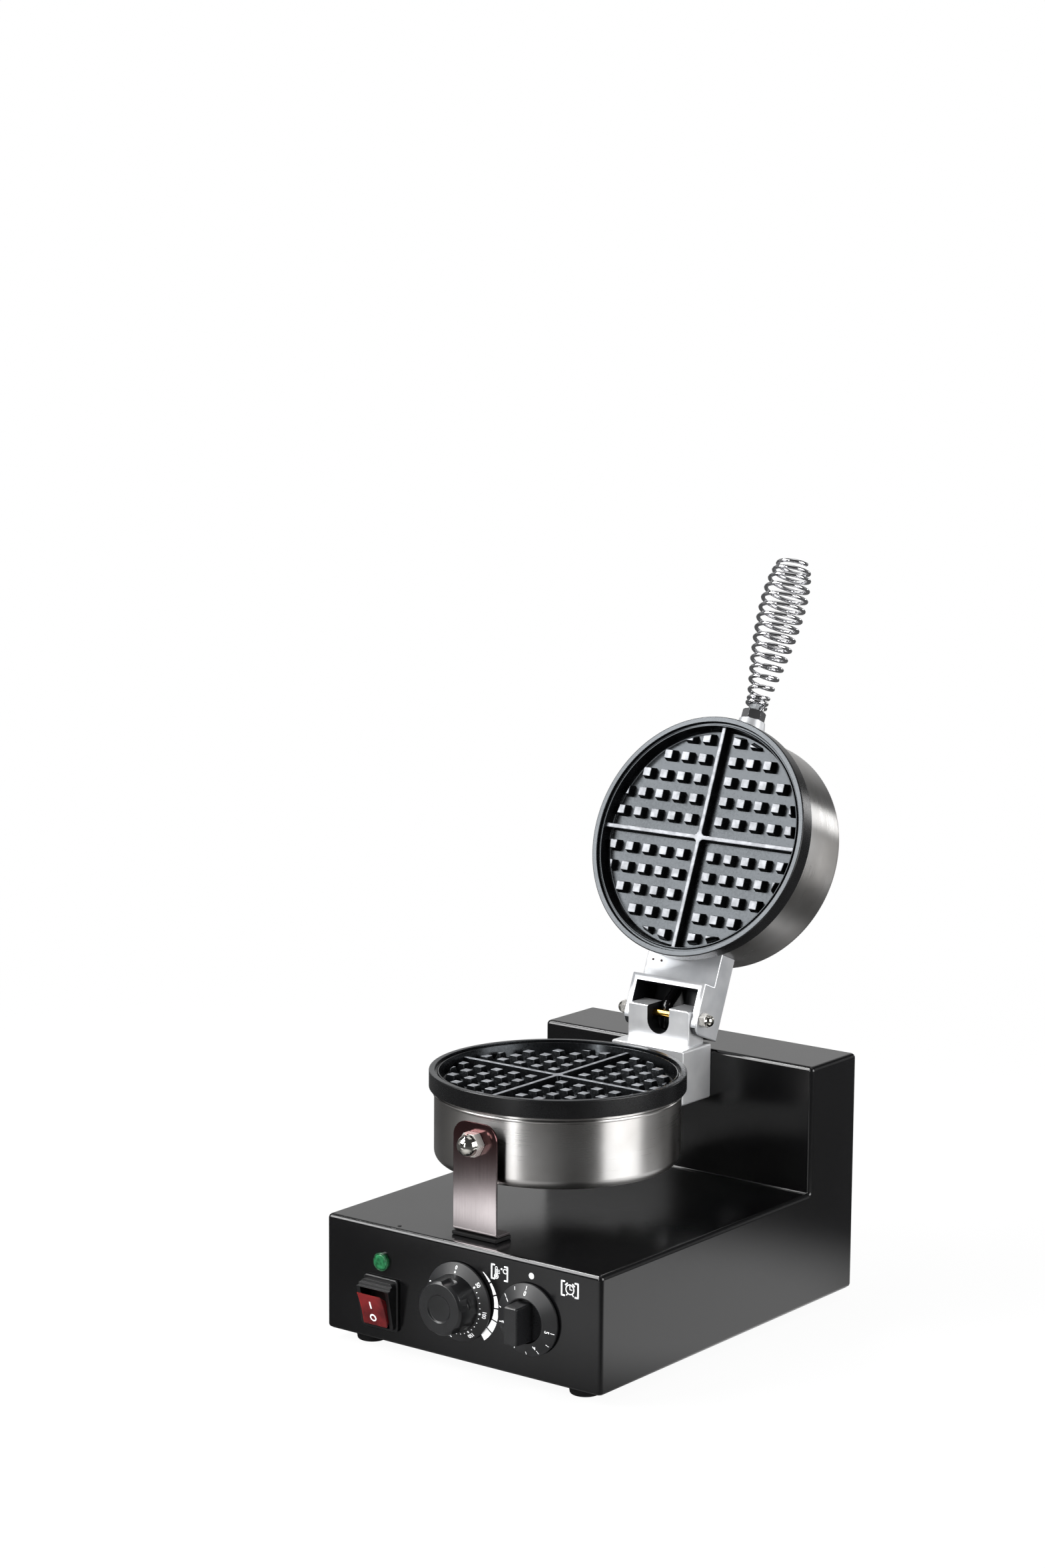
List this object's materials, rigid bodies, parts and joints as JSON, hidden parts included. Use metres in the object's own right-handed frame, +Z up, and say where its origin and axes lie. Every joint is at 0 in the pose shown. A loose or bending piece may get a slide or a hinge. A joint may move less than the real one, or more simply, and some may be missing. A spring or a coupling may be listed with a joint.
{
  "type": "commercial waffle maker",
  "caption": "Countertop cooker with a round lower mould on a raised pan, a hinged upper mould with a coil handle, and a front panel with switch, lamp, thermostat and timer.",
  "frame": {"origin": "on the floor under the middle of the machine as it stands open", "axes": "+Z up, +Y from the control panel to the hinge, +X to the right of a user who faces the panel"},
  "size_m": [0.2554, 0.4644, 0.5672],
  "materials": {
    "black_paint": "gloss black powder coat",
    "black_cast": "satin black baked coating",
    "brushed_steel": "brushed stainless steel",
    "cast_aluminium": "blasted casting",
    "chrome": "polished plating",
    "brass": "turned",
    "rubber": "matt black",
    "black_plastic": "satin black moulding",
    "red_plastic": "dark red translucent",
    "green_plastic": "green translucent",
    "zinc_steel": "zinc plated",
    "dark_steel": "oxidised steel sheath",
    "white_plastic": "off-white moulding"
  },
  "bodies": {
    "base": {"housing": "black_paint", "bottom_cover": "black_paint", "lower_mould": "black_cast", "lower_shell": "brushed_steel", "lower_heater": "dark_steel", "lower_tie_bolt": "zinc_steel", "sensor_bulb": "brass", "support_bracket": "brushed_steel", "bracket_pad": "rubber", "bracket_stud": "zinc_steel", "bracket_spacer": "zinc_steel", "bracket_cap_nut": "chrome", "bracket_screw": "zinc_steel", "hinge_block": "cast_aluminium", "block_bolt_left": "zinc_steel", "pan_bolt_left": "zinc_steel", "block_bolt_right": "zinc_steel", "pan_bolt_right": "zinc_steel", "lead_lower": "rubber", "lamp_lens": "green_plastic", "lamp_bezel": "green_plastic", "lamp_body": "white_plastic", "switch_frame": "black_plastic", "switch_body": "black_plastic", "thermostat": "dark_steel", "timer_clockwork": "white_plastic", "timer_bell": "chrome", "cord_gland": "black_plastic", "gland_nut": "black_plastic", "terminal_block": "white_plastic", "foot_front_left": "rubber", "foot_front_right": "rubber", "foot_rear_left": "rubber", "foot_rear_right": "rubber"},
    "lid": {"upper_mould": "black_cast", "upper_shell": "brushed_steel", "upper_heater": "dark_steel", "upper_tie_bolt": "zinc_steel", "hinge_arm": "cast_aluminium", "hinge_pin": "brass", "lead_upper": "rubber", "hinge_cap_nut_left": "chrome", "hinge_cap_nut_right": "chrome", "arm_bolt_left": "zinc_steel", "arm_bolt_right": "zinc_steel", "handle_seat": "cast_aluminium", "handle_nut": "chrome", "handle_plug": "zinc_steel", "handle_spring": "chrome"},
    "temperature_dial": {"temperature_knob": "black_plastic", "temperature_shaft": "zinc_steel"},
    "timer_dial": {"timer_knob": "black_plastic", "timer_shaft": "zinc_steel"},
    "power_rocker": {"switch_rocker": "red_plastic"}
  },
  "joints": [
    {"name": "lid_hinge", "type": "hinge", "parent": "base", "child": "lid", "pos_m": [0, 0.04982, 0.2222], "axis": [1, 0, 0], "range_deg": [0, 112]},
    {"name": "temperature_turn", "type": "hinge", "parent": "base", "child": "temperature_dial", "pos_m": [0, -0.20718, 0.0536], "axis": [0, 1, 0], "range_deg": [-290, 0]},
    {"name": "timer_turn", "type": "hinge", "parent": "base", "child": "timer_dial", "pos_m": [0.064, -0.20718, 0.0528], "axis": [0, 1, 0], "range_deg": [0, 260]},
    {"name": "power_tilt", "type": "hinge", "parent": "base", "child": "power_rocker", "pos_m": [-0.0735, -0.21418, 0.0348], "axis": [1, 0, 0], "range_deg": [-18, 0]}
  ]
}
